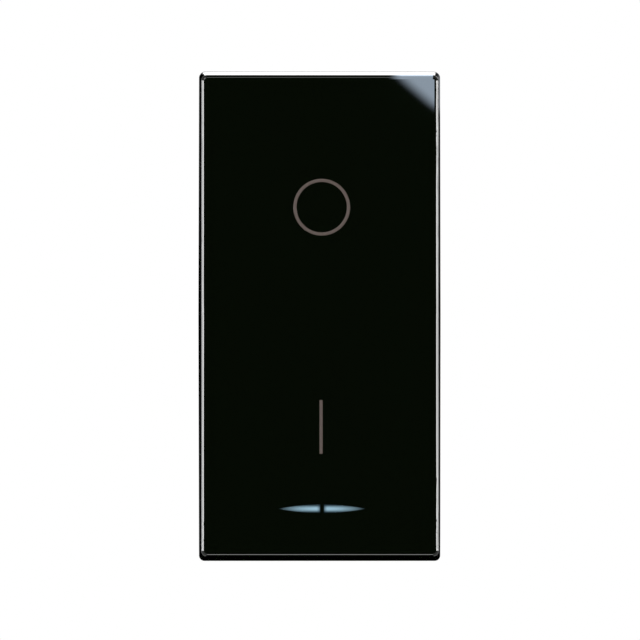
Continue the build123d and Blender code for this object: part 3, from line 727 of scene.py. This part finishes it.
# %% Mask the board
weave_pitch = 0.5
material, tree, shader, place = start_material("green_solder_mask", "#1F5B38", 0.28, IOR=1.5)
weave = add(tree, "TexWave", {"Vector": place, "Scale": waves_per_metre(weave_pitch)}, bands_direction="X")
cross = add(tree, "TexWave", {"Vector": place, "Scale": waves_per_metre(weave_pitch)}, bands_direction="Z")
woven = add(tree, "Math", {0: weave, 1: cross}, operation="MULTIPLY")
drive(shader, "Normal", add(tree, "Bump", {"Height": woven, "Strength": 0.5, "Distance": 0.01 * mm}))
dress(material, "board_green", "lamp_board")

# %% Cast the diode
core_grain = 1
material, tree, shader, place = start_material(
    "clear_epoxy", "#E8F2F6", 0.12, IOR=1.53, Emission_Strength=0.15
)
core = add(tree, "TexNoise", {"Vector": place, "Scale": per_metre(core_grain)})
lit = add(tree, "Mix", {"Factor": core, "A": linear("#9FD2EA"), "B": linear("#D8F2FF")}, data_type="RGBA")
drive(shader, "Emission Color", lit)
dress(material, "led_body", "led")

# %% Glaze the resistor
resistor_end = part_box("lamp_resistor")[1].x
end_cap = 0.7 * mm
material, tree, shader, place = start_material("glazed_resistor", "#141414", 0.25, IOR=1.5)
from_middle = add(tree, "SeparateXYZ", {"Vector": place}).outputs["X"]
reach = add(tree, "Math", {0: from_middle}, operation="ABSOLUTE")
tinned = add(tree, "Math", {0: reach, 1: resistor_end - end_cap}, operation="GREATER_THAN")
coats = {"Factor": tinned, "A": linear("#141414"), "B": linear("#C9C7C0")}
drive(shader, "Base Color", add(tree, "Mix", coats, data_type="RGBA"))
drive(shader, "Metallic", tinned)
dress(material, "resistor_black", "lamp_resistor")
print("Pieces without a finish:", sorted(set(frame["nodes"]) - dressed))

# %% [markdown]
# ## The springs
# A plunger that is pushed into its tube shortens its spring. A imported piece can't change its shape, so
# each spring gets a copy of its mesh that stands in for it, hangs on the rocker and keeps its shape.

# %% Stand in for the springs
for side in ("left", "right"):
    packed_spring = frame["nodes"][f"plunger_spring_{side}"]
    spring = bpy.data.objects.new(f"giving_spring_{side}", packed_spring.data.copy())
    bpy.context.scene.collection.objects.link(spring)
    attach(spring, "rocker")
    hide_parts(packed_spring.name)
    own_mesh(spring)

# %% [markdown]
# ## The two marks
# The key carries a ring for off and a bar for on, pad-printed in warm grey ink. Ink could be painted into
# the key's material, but a print is a thin layer that lies on the surface, with a soft shoulder, so each
# mark is a mesh of its own that rides on the key. Both are one domed ribbon, swept round a circle or
# along a line.

# %% Shape the stroke
stroke_width = 0.285 * mm
ink_thickness = 0.012 * mm
ink_sink = 0.003 * mm
ink_shoulder = 0.03 * mm
edge_rise = 0.4 * ink_thickness
shoulder_rise = 0.9 * ink_thickness


def ribbon_profile():
    """Across the stroke and out of the face: a low dome with short shoulders, closed under the surface."""
    half = stroke_width / 2
    return [
        (-half, -ink_sink),
        (-half, edge_rise),
        (-half + ink_shoulder, shoulder_rise),
        (0.0, ink_thickness),
        (half - ink_shoulder, shoulder_rise),
        (half, edge_rise),
        (half, -ink_sink),
    ]


print(f"The stroke is {stroke_width / mm:.3f} mm wide and {ink_thickness / mm:.3f} mm thick")

# %% Sweep a printed stroke
def print_stroke(name, sections, closed):
    """A mesh that rides on the key. Each section is a middle and a sideways direction on its face."""
    stroke = bmesh.new()
    rows = []
    for middle, sideways in sections:
        row = []
        for offset, rise in ribbon_profile():
            spot = middle + sideways * offset
            row.append(stroke.verts.new(key_face @ Vector((spot.x, spot.y, rise))))
        rows.append(row)
    pairs = list(zip(rows, rows[1:]))
    if closed:
        pairs.append((rows[-1], rows[0]))
    else:
        stroke.faces.new(rows[0])
        stroke.faces.new(rows[-1][::-1])
    for row, following in pairs:
        for index in range(len(row)):
            after = (index + 1) % len(row)
            stroke.faces.new((row[index], following[index], following[after], row[after]))
    bmesh.ops.recalc_face_normals(stroke, faces=stroke.faces)
    mesh = bpy.data.meshes.new(name)
    stroke.to_mesh(mesh)
    stroke.free()
    piece = bpy.data.objects.new(name, mesh)
    bpy.context.scene.collection.objects.link(piece)
    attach(piece, "rocker")
    print(f"{name}: {len(mesh.polygons)} faces")
    return piece


# %% Mix the ink
screen_grain = 0.25
ink, tree, shader, place = start_material("printed_grey_ink", "#645752", 0.42, IOR=1.5)
screen = add(tree, "TexNoise", {"Vector": place, "Scale": per_metre(screen_grain), "Detail": 2.0})
browns = {"Factor": screen, "A": linear("#5E524D"), "B": linear("#6A5D57")}
drive(shader, "Base Color", add(tree, "Mix", browns, data_type="RGBA"))
print(f"{ink.name}: {len(tree.nodes)} nodes")

# %% Print the ring
ring_diameter = 5.17 * mm
ring_middle = Vector((0.153, 9.87)) * mm
ring_steps = 96
ring_radius = (ring_diameter - stroke_width) / 2
sections = []
for step in range(ring_steps):
    turn = 2 * pi * step / ring_steps
    outward = Vector((cos(turn), sin(turn)))
    sections.append((ring_middle + outward * ring_radius, outward))
ring = print_stroke("off_mark", sections, closed=True)
ring.data.materials.append(ink)
ring.data.shade_smooth()

# %% Print the bar
bar_length = 4.885 * mm
bar_middle = Vector((0.093, -10.145)) * mm
bar_steps = 12
bar_end = Vector((0, bar_length / 2))
sections = []
for step in range(bar_steps + 1):
    share = 2 * step / bar_steps - 1
    sections.append((bar_middle + bar_end * share, Vector((1, 0))))
bar = print_stroke("on_mark", sections, closed=False)
bar.data.materials.append(ink)

# %% [markdown]
# ## Measure the size
# The dressed module must be as large as the model that it started from. The last lines measure how much
# its box grew past the model's box and print that.

# %% Measure the dressed module
visual_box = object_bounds()
grown = max((visual_box[1] - cad_box[1]).length, (cad_box[0] - visual_box[0]).length)
print(f"The dressed module is {grown / mm:.3f} mm larger than the packed one")
